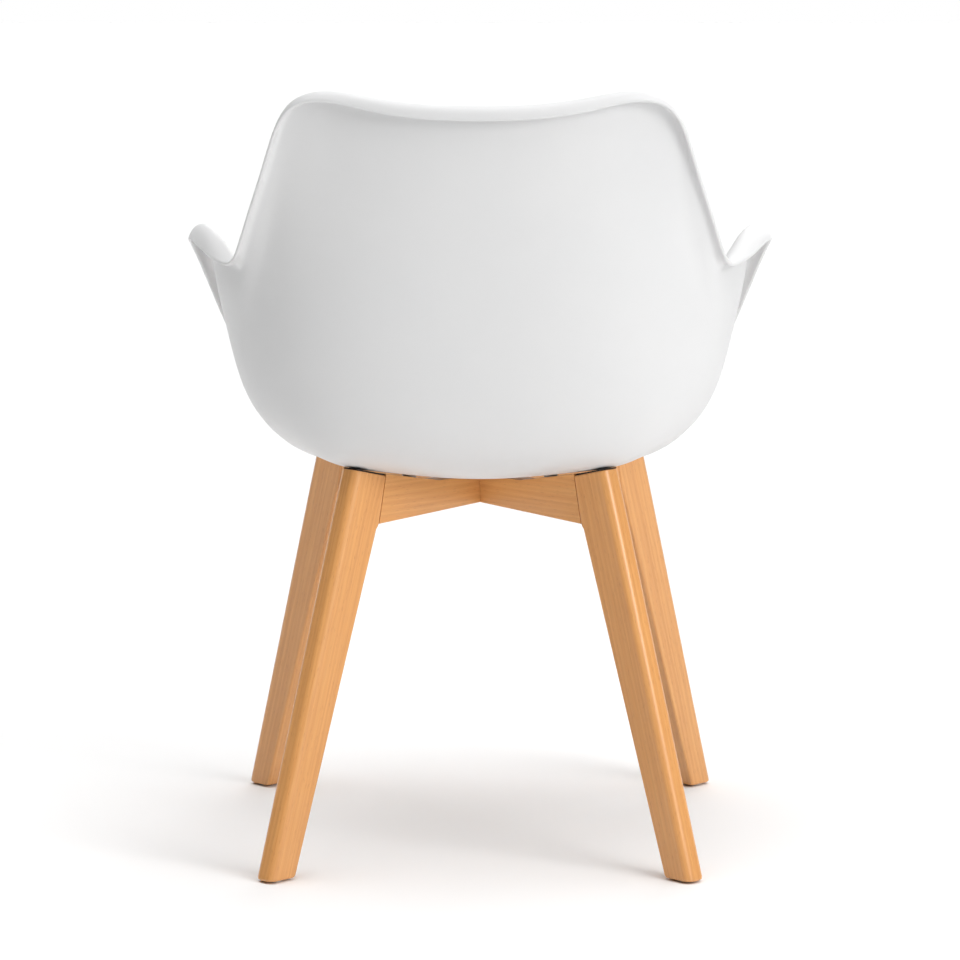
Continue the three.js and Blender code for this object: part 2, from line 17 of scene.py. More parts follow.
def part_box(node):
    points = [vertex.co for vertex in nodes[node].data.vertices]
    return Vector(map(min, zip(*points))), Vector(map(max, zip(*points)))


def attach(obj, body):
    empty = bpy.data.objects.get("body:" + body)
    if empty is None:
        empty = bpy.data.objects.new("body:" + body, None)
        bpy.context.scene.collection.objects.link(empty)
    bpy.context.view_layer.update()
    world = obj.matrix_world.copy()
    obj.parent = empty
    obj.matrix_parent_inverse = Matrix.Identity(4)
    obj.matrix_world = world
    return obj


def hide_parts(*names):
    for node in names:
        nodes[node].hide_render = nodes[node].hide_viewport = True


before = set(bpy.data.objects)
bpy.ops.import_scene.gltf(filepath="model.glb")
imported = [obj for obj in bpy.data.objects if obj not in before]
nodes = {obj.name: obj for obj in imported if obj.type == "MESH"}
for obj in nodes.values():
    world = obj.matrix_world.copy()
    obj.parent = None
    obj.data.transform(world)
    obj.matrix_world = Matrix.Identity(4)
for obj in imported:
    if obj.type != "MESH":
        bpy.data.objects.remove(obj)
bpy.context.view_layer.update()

MM = 0.001
WELD_DISTANCE = 0.00002
FRAME_SHIFT = (0.0, 21.3, 0.0)  # from the crossing of the boards to the frame's origin
FRONT_ARM_EXTRA = 50.0  # how much longer the front arms of the cross are, in mm
# Each arm of the cross: name, direction in degrees, and extra length in mm.
ARMS = [
    ("rear_left", 45, 0.0),
    ("rear_right", 135, 0.0),
    ("front_right", 225, FRONT_ARM_EXTRA),
    ("front_left", 315, FRONT_ARM_EXTRA),
]

# ---- shell: control rings on the seat side, in mm from the crossing of the boards -------------
# Each ring runs from the middle of the back, round the corner, down to the arm, along the arm and
# round the front. They are the same as in the CAD model.
SHELL_THICKNESS = 4.4
SEAT_CENTRE = (0, 0, 403.6)
FLOOR_RING = [
    (0, 76, 404.6), (22, 76, 405.2), (42, 72, 405.8), (60, 66, 407), (72, 60, 407.5), (78, 54, 407.5),
    (82, 46, 407), (86, 38, 407), (88, 30, 406.5), (90, 22, 406), (92, 12, 405.5), (93, 2, 405),
    (93, -14, 405), (90, -32, 405), (85, -50, 405.5), (78, -66, 405.5), (66, -80, 405.5), (46, -90, 405),
    (24, -94, 405), (0, -96, 405),
]
FOOT_RING = [
    (0, 130, 413.5), (36, 129, 414), (70, 123, 416.5), (97, 112, 418.5), (113, 101, 419.5), (123, 91, 421.5),
    (131, 80, 422), (138, 66, 422), (143, 52, 420), (146, 38, 418), (148, 20, 417), (149, 0, 416),
    (149, -26, 416), (147, -58, 416), (143, -92, 415), (135, -128, 413), (120, -158, 414),
    (88, -175, 416), (46, -182, 419), (0, -184, 420),
]
KNEE_RING = [
    (0, 180, 434), (52, 178, 434), (98, 171, 433), (138, 161, 430), (164, 146, 426), (174, 127, 429.5),
    (181, 107, 431), (189, 90, 433), (195, 73, 434), (199, 54, 432), (201, 31, 432), (202, 3, 432),
    (202, -34, 432), (199, -80, 431), (194, -130, 428), (187, -175, 429), (170, -213, 433),
    (123, -233, 438), (65, -240, 438), (0, -242, 438),
]
LOW_RING = [
    (0, 203, 508), (64, 201, 508), (122, 191, 507), (168, 173, 505), (197, 155, 502), (217, 137, 498),
    (231, 119, 494), (240, 103, 491), (245, 87, 489), (248, 69, 488), (250, 44, 487), (251, 12, 487),
    (251, -32, 486), (247, -84, 482), (239, -140, 472), (226, -190, 458), (196, -234, 446),
    (138, -256, 441), (70, -262, 441), (0, -264, 441),
]
MID_RING = [
    (0, 214, 612), (64, 212, 613), (122, 203, 614), (168, 187, 612), (196, 170, 606), (214, 154, 596),
    (229, 138, 586), (240, 124, 574), (248, 110, 564), (253, 93, 558), (260, 62, 556), (266, 26, 556),
    (268, -24, 554), (266, -84, 542), (256, -146, 516), (240, -198, 484), (206, -246, 454),
    (144, -266, 444), (74, -272, 444), (0, -274, 444),
]
HIGH_RING = [
    (0, 228, 724), (60, 226, 726), (114, 217, 730), (154, 206, 734), (182, 196, 724), (200, 182, 694),
    (213, 167, 662), (225, 153, 634), (236, 139, 610), (249, 120, 596), (265, 86, 600), (278, 46, 612),
    (283, -12, 614), (282, -78, 600), (270, -144, 560), (251, -204, 500), (217, -252, 456),
    (150, -272, 444), (78, -278, 444), (0, -280, 444),
]
RIM_RING = [
    (0, 240, 790), (58, 238, 791), (110, 231, 799), (149, 222, 808), (186, 214, 803), (199, 201, 764),
    (214, 185, 718), (226, 170, 682), (235, 155, 650), (243, 135, 616), (258, 100, 632), (274, 56, 650),
    (287, -8, 651), (288, -76, 632), (278, -146, 582), (257, -210, 512), (222, -258, 456),
    (154, -278, 442), (80, -284, 442), (0, -286, 442),
]
# The rolled rim at the same twenty places: its length, and how far it turns over in degrees.
LIP = [
    (33, 165), (33, 165), (31, 160), (28, 145), (24, 120), (19, 84), (15, 58), (15, 52),
    (16, 60), (25, 100), (46, 138), (54, 160), (46, 156), (36, 132), (28, 112), (26, 100),
    (30, 95), (34, 90), (34, 90), (34, 90),
]
ROUND_STEPS = 360  # round the rim
WALL_STEPS = 64  # from the seat's middle to the foot of the rolled rim
LIP_STEPS = 20  # over the rolled rim
LIP_SUBSTEPS = 12  # short steps summed within each of those
EDGE_STEPS = 6  # round the free edge
SLOPE_STEP = 1e-4  # along a spoke, for its direction
BOSS_RADIUS = 0.00725
BOSS_EDGE = 0.0006
BOSS_STEPS = 48

# ---- crossed frame ------------------------------------------------------------------------------
LEG_THICKNESS = 26.0
LEG_ROUND_OUTER = 9.0
LEG_ROUND_INNER = 2.5
OUTER_CORNER_STEPS = 12
INNER_CORNER_STEPS = 4
TOP_SLOPE = 0.235  # rise of the leg tops away from the middle
LEG_TOP_INNER_Z = 410.7
JOINT_BOTTOM_Z = 361.0
JOINT_EASE = 5.0  # height over which the leg's inner face runs into the joint
KNEE_STEP = 2.0  # how far the leg's inner face stands out from the joint below it
FOOT_Z = 2.2
# Distances from the crossing of the boards, for the rear arms.
RADIUS = {
    "joint_top": 151.5, "joint_bottom": 161.5, "top_outer": 195.0,
    "foot_inner": 284.5, "foot_outer": 319.5,
}
FOOT_EDGE = ((3.0, 0.0), (1.4, 0.35), (0.5, 1.1), (0.0, 3.0))  # inset, and height above the foot
TOP_EDGE = ((0.0, 1.2), (0.35, 0.35), (1.2, 0.0))  # inset, and depth below the top
SHAFT_HEIGHTS = (20, 60, 110, 160, 210, 260, 310, 340)
LEG_SHARP_ANGLE = 50
GAP = 0.3  # clearance between pieces


# ---- small tools --------------------------------------------------------------------------------
def new_object(name, mesh):
    """An object of this mesh, in the scene."""
    piece = bpy.data.objects.new(name, mesh)
    bpy.context.scene.collection.objects.link(piece)
    return piece


def mesh_of(name, points, faces):
    """A smooth-shaded mesh from points and faces."""
    mesh = bpy.data.meshes.new(name)
    mesh.from_pydata([tuple(p) for p in points], [], faces)
    mesh.validate()
    mesh.update()
    mesh.shade_smooth()
    return mesh


def apply_modifiers(piece):
    """Replaces the piece's mesh by what its modifiers make of it."""
    graph = bpy.context.evaluated_depsgraph_get()
    done = bpy.data.meshes.new_from_object(piece.evaluated_get(graph))
    piece.modifiers.clear()
    piece.data = done
    return piece


def placed(points_mm):
    """From millimetres about the crossing of the boards to metres in the frame."""
    return (np.asarray(points_mm, float) + np.array(FRAME_SHIFT)) * MM


# ---- material tools -----------------------------------------------------------------------------
class Nodes:
    """Short hand for building one material's node tree."""

    def __init__(self, name, base, roughness, metallic=0.0):
        self.material = bpy.data.materials.new(name)
        self.material.use_nodes = True
        self.tree = self.material.node_tree
        self.shader = self.tree.nodes["Principled BSDF"]
        self.shader.inputs["Base Color"].default_value = (*base, 1)
        self.shader.inputs["Roughness"].default_value = roughness
        self.shader.inputs["Metallic"].default_value = metallic

    def add(self, kind, inputs=None, **settings):
        node = self.tree.nodes.new(kind)
        for key, value in settings.items():
            setattr(node, key, value)
        for key, value in (inputs or {}).items():
            if isinstance(value, bpy.types.NodeSocket):
                self.tree.links.new(value, node.inputs[key])
            else:
                node.inputs[key].default_value = value
        return node

    def link(self, socket, target):
        self.tree.links.new(socket, target)

    def object_coordinates(self, rotation=(0, 0, 0), location=(0, 0, 0)):
        where = self.add("ShaderNodeTexCoord").outputs["Object"]
        turned = {"Vector": where, "Rotation": rotation, "Location": location}
        return self.add("ShaderNodeMapping", turned).outputs[0]

    def noise(self, vector, scale, detail=4.0, rough=0.5):
        return self.add("ShaderNodeTexNoise", {
            "Vector": vector, "Scale": scale, "Detail": detail, "Roughness": rough,
        }).outputs["Fac"]

    def ramp(self, factor, stops):
        node = self.add("ShaderNodeValToRGB", {"Fac": factor})
        ramp = node.color_ramp
        while len(ramp.elements) < len(stops):
            ramp.elements.new(0.5)
        for element, (at, colour) in zip(ramp.elements, stops):
            element.position = at
            element.color = (*colour, 1)
        return node.outputs["Color"]

    def mix(self, factor, one, two, blend="MIX"):
        node = self.tree.nodes.new("ShaderNodeMix")
        node.data_type = "RGBA"
        node.blend_type = blend
        for key, value in ((0, factor), (6, one), (7, two)):
            if isinstance(value, bpy.types.NodeSocket):
                self.tree.links.new(value, node.inputs[key])
            elif key == 0:
                node.inputs[key].default_value = value
            else:
                node.inputs[key].default_value = (*value, 1)
        return node.outputs[2]

    def span(self, value, low, high):
        return self.add("ShaderNodeMapRange", {"Value": value, "To Min": low, "To Max": high}).outputs[0]

    def bump(self, height, distance, strength=1.0, under=None):
        inputs = {"Height": height, "Distance": distance, "Strength": strength}
        if under is not None:
            inputs["Normal"] = under
        return self.add("ShaderNodeBump", inputs).outputs[0]

    def colour(self, socket):
        self.link(socket, self.shader.inputs["Base Color"])

    def rough(self, socket):
        self.link(socket, self.shader.inputs["Roughness"])

    def normal(self, socket):
        self.link(socket, self.shader.inputs["Normal"])


def shell_material():
    """Satin white polypropylene: a very fine spark-eroded texture and a faint unevenness of gloss."""
    m = Nodes("shell_plastic", (0.69, 0.69, 0.69), 0.42)
    where = m.object_coordinates()
    clouds = m.noise(where, 9.0, 3.0)
    m.colour(m.ramp(clouds, [(0.3, (0.682, 0.684, 0.687)), (0.7, (0.698, 0.698, 0.699))]))
    m.rough(m.span(m.noise(where, 60.0, 4.0), 0.40, 0.50))
    grain = m.noise(where, 2600.0, 2.0, 0.6)
    sink = m.noise(where, 22.0, 2.0)
    m.normal(m.bump(grain, 0.00004, 0.55, under=m.bump(sink, 0.0006, 0.12)))
    m.shader.inputs["IOR"].default_value = 1.49
    m.shader.inputs["Subsurface Weight"].default_value = 0.06
    m.shader.inputs["Subsurface Radius"].default_value = (0.004, 0.004, 0.004)
    m.shader.inputs["Subsurface Scale"].default_value = 1.0
    return m.material


def beech_material(name, turn, offset):
    """Lacquered beech: soft growth bands, fine fibres and the short dark flecks along the grain.

    turn is the rotation that brings the grain onto the pattern's own Z axis.
    """
    m = Nodes(name, (0.70, 0.42, 0.21), 0.36)
    along = m.object_coordinates(rotation=turn, location=offset)

    def stretched(across, length):
        return m.add("ShaderNodeMapping", {"Vector": along, "Scale": (across, across, length)}).outputs[0]

    sway = m.noise(stretched(1, 0.25), 9.0, 2.0)
    bands = m.add("ShaderNodeTexWave", {
        "Vector": stretched(1, 0.04), "Scale": 34.0, "Distortion": 5.0, "Detail": 2.0,
        "Detail Scale": 1.4, "Detail Roughness": 0.55,
    }, wave_type="BANDS", bands_direction="X", wave_profile="SIN").outputs["Fac"]
    streaks = m.noise(stretched(1, 0.018), 260.0, 5.0, 0.62)
    fibres = m.noise(stretched(1, 0.02), 1500.0, 3.0, 0.6)
    light = (0.835, 0.425, 0.140)
    middle = (0.775, 0.365, 0.108)
    dark = (0.645, 0.267, 0.070)
    ground = m.ramp(bands, [(0.0, middle), (0.55, light), (1.0, middle)])
    ground = m.mix(m.span(sway, 0.0, 0.35), ground, dark)
    streak = m.ramp(streaks, [(0.38, (1, 1, 1)), (0.62, (0.86, 0.80, 0.74))])
    ground = m.mix(0.55, ground, streak, "MULTIPLY")
    fine = m.ramp(fibres, [(0.40, (1, 1, 1)), (0.66, (0.90, 0.86, 0.82))])
    ground = m.mix(0.8, ground, fine, "MULTIPLY")
    cells = m.add("ShaderNodeTexVoronoi", {"Vector": stretched(1, 0.11), "Scale": 620.0})
    flecks = m.ramp(cells.outputs["Distance"], [(0.10, (0.62, 0.48, 0.36)), (0.22, (1, 1, 1))])
    ground = m.mix(0.45, ground, flecks, "MULTIPLY")
    m.colour(ground)
    m.rough(m.span(streaks, 0.42, 0.54))
    m.normal(m.bump(fibres, 0.00005, 0.5, under=m.bump(streaks, 0.00012, 0.35)))
    m.shader.inputs["Specular IOR Level"].default_value = 0.75
    m.shader.inputs["Coat Weight"].default_value = 0.40
    m.shader.inputs["Coat Roughness"].default_value = 0.18
    return m.material


def imitation_leather():
    """Off-white imitation leather: small irregular cells, softly creased."""
    m = Nodes("pad_leather", (0.70, 0.695, 0.68), 0.45)
    where = m.object_coordinates()
    cells = m.add("ShaderNodeTexVoronoi", {"Vector": where, "Scale": 620.0}, feature="DISTANCE_TO_EDGE")
    creases = m.ramp(cells.outputs["Distance"], [(0.0, (0, 0, 0)), (0.10, (1, 1, 1))])
    broad = m.noise(where, 14.0, 4.0, 0.55)
    m.colour(m.mix(m.span(broad, 0.0, 0.6), (0.715, 0.710, 0.696), (0.665, 0.658, 0.642)))
    m.rough(m.span(m.noise(where, 90.0, 3.0), 0.40, 0.54))
    m.normal(m.bump(creases, 0.00010, 0.45, under=m.bump(broad, 0.0012, 0.25)))
    m.shader.inputs["Sheen Weight"].default_value = 0.08
    return m.material


def plain_material(name, base, roughness, metallic=0.0, grain=900.0, depth=0.00004, wear=None):
    """Small parts: one colour with a fine surface, and lighter or darker patches where wear is given."""
    m = Nodes(name, base, roughness, metallic)
    where = m.object_coordinates()
    fine = m.noise(where, grain, 3.0)
    broad = m.noise(where, 70.0, 3.0)
    other = wear or tuple(c * 0.85 for c in base)
    m.colour(m.mix(m.span(broad, 0.0, 0.5), base, other))
    m.rough(m.span(fine, roughness * 0.85, min(roughness * 1.2, 1.0)))
    m.normal(m.bump(fine, depth, 0.5))
    return m.material


# ---- the shell ----------------------------------------------------------------------------------
def round_weights(f):
    """Weights of the four nearest control points on a closed cubic B-spline."""
    return np.stack([(1 - f) ** 3, 3 * f**3 - 6 * f**2 + 4, -3 * f**3 + 3 * f**2 + 3 * f + 1, f**3], -1) / 6


def round_slopes(f):
    """The same for its direction."""
    return np.stack([-((1 - f) ** 2), 3 * f**2 - 4 * f, -3 * f**2 + 2 * f + 1, f**2], -1) / 2


def whole_ring(half, mirrored):
    """Both halves of a ring; points are mirrored across the chair, other values are repeated."""
    half = np.asarray(half, float)
    back = half[-2:0:-1].copy()
    if mirrored:
        back[:, 0] *= -1
    return np.concatenate([half, back])


def along_ring(ring, u, basis):
    """The ring's values at the places u, counted in control points."""
    whole = np.floor(u).astype(int)
    w = basis(u - whole)
    return sum(w[:, k : k + 1] * ring[(whole + k - 1) % len(ring)] for k in range(4))


def clamped_weights(count, v):
    """Weights of the control points on a clamped uniform cubic curve, one row for each value of v."""
    spans = count - 3
    knots = np.clip(np.arange(count + 4) - 3, 0, spans) / spans
    at = np.minimum(v, 1 - 1e-9)
    basis = ((knots[:-1] <= at[:, None]) & (at[:, None] < knots[1:])).astype(float)
    for degree in (1, 2, 3):
        rows = []
        for i in range(count + 3 - degree):
            left = knots[i + degree] - knots[i]
            right = knots[i + degree + 1] - knots[i + 1]
            first = (at - knots[i]) / left * basis[:, i] if left > 0 else 0 * at
            second = (knots[i + degree + 1] - at) / right * basis[:, i + 1] if right > 0 else 0 * at
            rows.append(first + second)
        basis = np.stack(rows, -1)
    return basis


def unit(v):
    """Vectors of length one."""
    return v / np.linalg.norm(v, axis=-1, keepdims=True)


def shell_surface():
    """Points of the seat side and their outward normals, by place round the rim and along a spoke."""
    rings = [whole_ring(r, True) for r in
             (FLOOR_RING, FOOT_RING, KNEE_RING, LOW_RING, MID_RING, HIGH_RING, RIM_RING)]
    lip = whole_ring(LIP, False)
    u = np.arange(ROUND_STEPS) * len(lip) / ROUND_STEPS
    centre = np.tile(np.asarray(SEAT_CENTRE, float), (ROUND_STEPS, 1))
    column = np.stack([centre] + [along_ring(r, u, round_weights) for r in rings], 1)
    turning = np.stack([0 * centre] + [along_ring(r, u, round_slopes) for r in rings], 1)
    v = np.arange(1, WALL_STEPS + 1) / WALL_STEPS
    w = clamped_weights(column.shape[1], v)
    step = (clamped_weights(column.shape[1], np.minimum(v + SLOPE_STEP, 1))
            - clamped_weights(column.shape[1], np.maximum(v - SLOPE_STEP, 0)))
    at = np.einsum("vk,ukc->uvc", w, column)
    up = np.einsum("vk,ukc->uvc", step, column)
    along = np.einsum("vk,ukc->uvc", w, turning)
    out = unit(np.cross(up, along))
    rim_along = unit(along[:, -1])
    rise = unit(up[:, -1] - rim_along * np.sum(up[:, -1] * rim_along, -1, keepdims=True))
    rim_out = out[:, -1]
    shape = along_ring(lip, u, round_weights)
    length = shape[:, 0:1]
    turn = np.radians(shape[:, 1:2])
    stride = length / (LIP_STEPS * LIP_SUBSTEPS)
    here = at[:, -1]
    lip_at = []
    lip_out = []
    for i in range(1, LIP_STEPS + 1):
        for k in range(LIP_SUBSTEPS):
            t = (i - 1 + (k + 0.5) / LIP_SUBSTEPS) / LIP_STEPS
            angle = turn * t * t * (3 - 2 * t)
            here = here + (rise * np.cos(angle) + rim_out * np.sin(angle)) * stride
        t = i / LIP_STEPS
        angle = turn * t * t * (3 - 2 * t)
        lip_at.append(here)
        lip_out.append(rim_out * np.cos(angle) - rise * np.sin(angle))
    at = np.concatenate([at, np.stack(lip_at, 1)], 1)
    out = np.concatenate([out, np.stack(lip_out, 1)], 1)
    return at, out


def shell_mesh():
    """The closed wall: seat side, rounded free edge and outer side, met at the seat's middle."""
    at, out = shell_surface()
    outer = at + out * SHELL_THICKNESS
    last = at[:, -1] - at[:, -2]
    ahead = unit(last - out[:, -1] * np.sum(last * out[:, -1], -1, keepdims=True))
    middle = (at[:, -1] + outer[:, -1]) / 2
    edge = []
    for k in range(1, EDGE_STEPS):
        a = math.pi * k / EDGE_STEPS
        edge.append(middle + SHELL_THICKNESS / 2 * (ahead * math.sin(a) - out[:, -1] * math.cos(a)))
    profile = np.concatenate([at, np.stack(edge, 1), outer[:, ::-1]], 1)
    rows = profile.shape[1]
    points = [SEAT_CENTRE, (SEAT_CENTRE[0], SEAT_CENTRE[1], SEAT_CENTRE[2] - SHELL_THICKNESS)]
    points = np.concatenate([np.asarray(points, float), profile.reshape(-1, 3)])
    faces = []
    for i in range(ROUND_STEPS):
        a = 2 + i * rows
        b = 2 + ((i + 1) % ROUND_STEPS) * rows
        faces.append((0, b, a))
        faces.append((1, a + rows - 1, b + rows - 1))
        for r in range(rows - 1):
            faces.append((a + r, b + r, b + r + 1, a + r + 1))
    return mesh_of("shell", placed(points), faces)


def boss_mesh(name, inner, low, high):
    """A hollow round boss standing on the Z axis: eased rim below, open above into the shell."""
    outer = BOSS_RADIUS
    edge = BOSS_EDGE
    eased = edge * 0.3
    profile = [
        (outer, high), (outer, low + edge), (outer - eased, low + eased), (outer - edge, low),
        (inner + edge, low), (inner + eased, low + eased), (inner, low + edge), (inner, high),
    ]
    points = []
    for radius, z in profile:
        for i in range(BOSS_STEPS):
            a = 2 * math.pi * i / BOSS_STEPS
            points.append((radius * math.cos(a), radius * math.sin(a), z))
    faces = []
    rows = len(profile)
    for ring in range(rows):
        for i in range(BOSS_STEPS):
            j = (i + 1) % BOSS_STEPS
            one = ring * BOSS_STEPS
            two = (ring + 1) % rows * BOSS_STEPS
            faces.append((one + j, one + i, two + i, two + j))
    return mesh_of(name, points, faces)


shell = new_object("moulded_shell", shell_mesh())
shell.data.materials.append(shell_material())
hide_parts("shell")
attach(shell, "root")
for name, angle, extra in ARMS:
    insert_low, insert_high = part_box(f"shell_insert_{name}")
    middle = (insert_low + insert_high) / 2
    bore = (insert_high.x - insert_low.x) / 2 + GAP * MM
    boss_name = f"shell_boss_{name}"
    boss_tube = boss_mesh(boss_name, bore, insert_low.z - GAP * MM, insert_high.z + GAP * MM)
    boss = new_object(boss_name, boss_tube)
    boss.data.transform(Matrix.Translation((middle.x, middle.y, 0)))
    boss.data.materials.append(shell.data.materials[0])
    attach(boss, "root")


# ---- legs ---------------------------------------------------------------------------------------
def leg_outline(inner, outer, inset=0.0):
    """Plan section of a leg, along +X: well rounded outer corners, eased inner ones."""
    half = LEG_THICKNESS / 2 - inset
    middle = (inner + outer) / 2
    outline = []
    for x, y, radius, start, steps in (
        (outer - inset, half, LEG_ROUND_OUTER, 0, OUTER_CORNER_STEPS),
        (inner + inset, half, LEG_ROUND_INNER, 90, INNER_CORNER_STEPS),
        (inner + inset, -half, LEG_ROUND_INNER, 180, INNER_CORNER_STEPS),
        (outer - inset, -half, LEG_ROUND_OUTER, 270, OUTER_CORNER_STEPS),
    ):
        cx = x - radius * math.copysign(1, x - middle)
        cy = y - radius * math.copysign(1, y)
        for k in range(steps + 1):
            a = math.radians(start + 90 * k / steps)
            outline.append((cx + radius * math.cos(a), cy + radius * math.sin(a)))
    return outline


def leg_mesh(name, angle, extra):
    """A tapered, splayed leg as sections stacked from the foot to the sloping top."""
    r = {key: value + extra for key, value in RADIUS.items()}

    def top_line(x):
        return LEG_TOP_INNER_Z + TOP_SLOPE * (x - r["joint_top"])

    def outer_at(z):
        return r["foot_outer"] + (r["top_outer"] - r["foot_outer"]) * z / top_line(r["top_outer"])

    def inner_at(z):
        if z > JOINT_BOTTOM_Z:
            t = (z - JOINT_BOTTOM_Z) / (LEG_TOP_INNER_Z - JOINT_BOTTOM_Z)
            return r["joint_bottom"] + (r["joint_top"] - r["joint_bottom"]) * t + GAP
        knee = r["joint_bottom"] + KNEE_STEP
        straight = r["foot_inner"] + (knee - r["foot_inner"]) * z / JOINT_BOTTOM_Z
        ease = max(0.0, (z - (JOINT_BOTTOM_Z - JOINT_EASE)) / JOINT_EASE)
        return straight * (1 - ease) + (r["joint_bottom"] + GAP) * ease

    sections = []
    for inset, up in FOOT_EDGE:
        z = FOOT_Z + up
        sections.append([(x, y, z) for x, y in leg_outline(inner_at(z), outer_at(z), inset)])
    joint_heights = (JOINT_BOTTOM_Z - JOINT_EASE, JOINT_BOTTOM_Z - JOINT_EASE / 2, JOINT_BOTTOM_Z)
    for z in SHAFT_HEIGHTS + joint_heights:
        sections.append([(x, y, z) for x, y in leg_outline(inner_at(z), outer_at(z))])
    for inset, down in TOP_EDGE:
        base = leg_outline(r["joint_top"] + GAP, r["top_outer"], inset)
        sections.append([(x, y, top_line(x) - down) for x, y in base])
    count = len(sections[0])
    turn = Matrix.Rotation(math.radians(angle), 3, "Z")
    points = [tuple(turn @ Vector(p)) for section in sections for p in section]
    faces = []
    for k in range(len(sections) - 1):
        for i in range(count):
            j = (i + 1) % count
            a = k * count
            faces.append((a + i, a + j, a + count + j, a + count + i))
    faces.append(tuple(reversed(range(count))))
    top = (len(sections) - 1) * count
    faces.append(tuple(range(top, top + count)))
    mesh = mesh_of(name, placed(points), faces)
    mesh.set_sharp_from_angle(angle=math.radians(LEG_SHARP_ANGLE))
    return mesh


def grain_turn(direction):
    """Rotation, as Euler angles, that takes this direction onto the Z axis."""
    return tuple(Vector(direction).rotation_difference(Vector((0, 0, 1))).to_euler())


for index, (name, angle, extra) in enumerate(ARMS):
    leg = new_object(f"shaped_leg_{name}", leg_mesh(f"leg_{name}", angle, extra))
    lean = RADIUS["foot_outer"] - RADIUS["top_outer"]
    outward = Vector((math.cos(math.radians(angle)), math.sin(math.radians(angle)), 0))
    along = (outward * -lean + Vector((0, 0, LEG_TOP_INNER_Z))).normalized()
    cut_from = (0.31 * index, 0.17 * index, 0.4 * index)
    leg.data.materials.append(beech_material(f"beech_leg_{name}", grain_turn(along), cut_from))
    soften = leg.modifiers.new("even_normals", "WEIGHTED_NORMAL")
    soften.keep_sharp = True
    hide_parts(f"leg_{name}")
    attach(leg, "root")


# ---- CAD nodes that keep their shape ------------------------------------------------------------
BEVEL_ANGLE = 32


def dress(node, material, bevel=0.0004):
    """Weld the imported triangles, ease the edges and give the node its material."""
    piece = nodes[node]
    piece.data.materials.clear()
    piece.data.materials.append(material)
    weld = piece.modifiers.new("weld", "WELD")
    weld.merge_threshold = WELD_DISTANCE
    if bevel:
        ease = piece.modifiers.new("ease", "BEVEL")
        ease.width = bevel
        ease.segments = 2
        ease.limit_method = "ANGLE"
        ease.angle_limit = math.radians(BEVEL_ANGLE)
        ease.harden_normals = False
    even = piece.modifiers.new("even_normals", "WEIGHTED_NORMAL")
    even.keep_sharp = False
    piece.data.shade_smooth()
    return piece


# Near-black rubber for the pads on the leg tops. It is partly painted shade: the black pads fill the gap
# between the leg tops and the shell and stand in for the shadow there.
rubber_and_painted_shade = plain_material(
    "black_rubber", (0.016, 0.016, 0.017), 0.75, grain=1400.0, depth=0.00006, wear=(0.028, 0.028, 0.028))
zinc = plain_material(
    "zinc_plate", (0.62, 0.63, 0.65), 0.32, 1.0, grain=700.0, depth=0.00002, wear=(0.50, 0.51, 0.54))
brass = plain_material("brass", (0.60, 0.43, 0.16), 0.35, 1.0, grain=700.0, depth=0.00002)
nylon = plain_material("nylon", (0.70, 0.68, 0.63), 0.5, grain=500.0)
dowel_wood = plain_material("dowel_wood", (0.62, 0.42, 0.24), 0.6, grain=400.0, depth=0.0001)

for key, angle, cut_from in (("a", 45, (0.9, 0.5, 0.1)), ("b", 135, (1.1, 0.5, 0.1))):
    direction = (math.cos(math.radians(angle)), math.sin(math.radians(angle)), 0)
    wood = beech_material(f"beech_board_{key}", grain_turn(direction), cut_from)
    dress(f"cross_board_{key}", wood, bevel=0.0008)
dress("cross_screw", zinc, bevel=0.0002)
for name, angle, extra in ARMS:
    # These black pads are partly painted shade: they fill the dark gap under the shell.
    dress(f"leg_pad_{name}", rubber_and_painted_shade, bevel=0.0003)
    dress(f"shell_bolt_{name}", zinc, bevel=0.0003)
    dress(f"bolt_washer_{name}", zinc, bevel=0.0002)
    dress(f"shell_insert_{name}", brass, bevel=0.0)
    dress(f"foot_glide_{name}", nylon, bevel=0.0003)
    for number in (1, 2):
        dress(f"leg_dowel_{name}_{number}", dowel_wood, bevel=0.0)


# ---- seat pad -----------------------------------------------------------------------------------
PAD_VOXEL = 0.005
PAD_SHRINK = 0.975  # the pad swells, so it starts from a smaller shape
SWELL_FRAMES = 20
PAD_SWELL_LIMIT = 0.012  # how far the swelling may move a point
SEAM_BAND = 0.004  # half height of the band that the seam holds in
SEAM_HOLD = 0.75
SETTLE_ROUNDS = 8
SEAM_POINTS = 300
PIPING_RADIUS = 0.0024
PIPING_SIDES = 14
STITCH_LENGTH = 0.0034
STITCH_STEP = 0.0052
STITCH_RADIUS = 0.00042
STITCH_INSET = 0.0085
STITCH_SIDES = 8
# One stitch from end to end: place along its length, thickness, and lift in radii.
STITCH_RINGS = (
    (-0.5, 0.25, -0.6), (-0.42, 0.75, -0.1), (-0.22, 1.0, 0.35),
    (0.22, 1.0, 0.35), (0.42, 0.75, -0.1), (0.5, 0.25, -0.6),
)
PUCKER_DEPTH = 0.0006
PUCKER_REACH = 0.016  # how far the gathers run in from the seam
PUCKER_TURNS = 210  # phase of the gathers once round the seam, in radians
pad_low, pad_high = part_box("seat_pad")
pad_middle = (pad_low + pad_high) / 2
PAD_SEAM_Z = pad_high.z - 0.0135


def start_pad():
    """The CAD pad, a little smaller than finished, as an even mesh."""
    mesh = nodes["seat_pad"].data.copy()
    mesh.materials.clear()
    piece = new_object("upholstered_pad", mesh)
    work = bmesh.new()
    work.from_mesh(mesh)
    bmesh.ops.remove_doubles(work, verts=work.verts, dist=WELD_DISTANCE)
    for vertex in work.verts:
        vertex.co.x = pad_middle.x + (vertex.co.x - pad_middle.x) * PAD_SHRINK
        vertex.co.y = pad_middle.y + (vertex.co.y - pad_middle.y) * PAD_SHRINK
    work.to_mesh(mesh)
    work.free()
    remesh = piece.modifiers.new("even", "REMESH")
    remesh.mode = "VOXEL"
    remesh.voxel_size = PAD_VOXEL
    return apply_modifiers(piece)


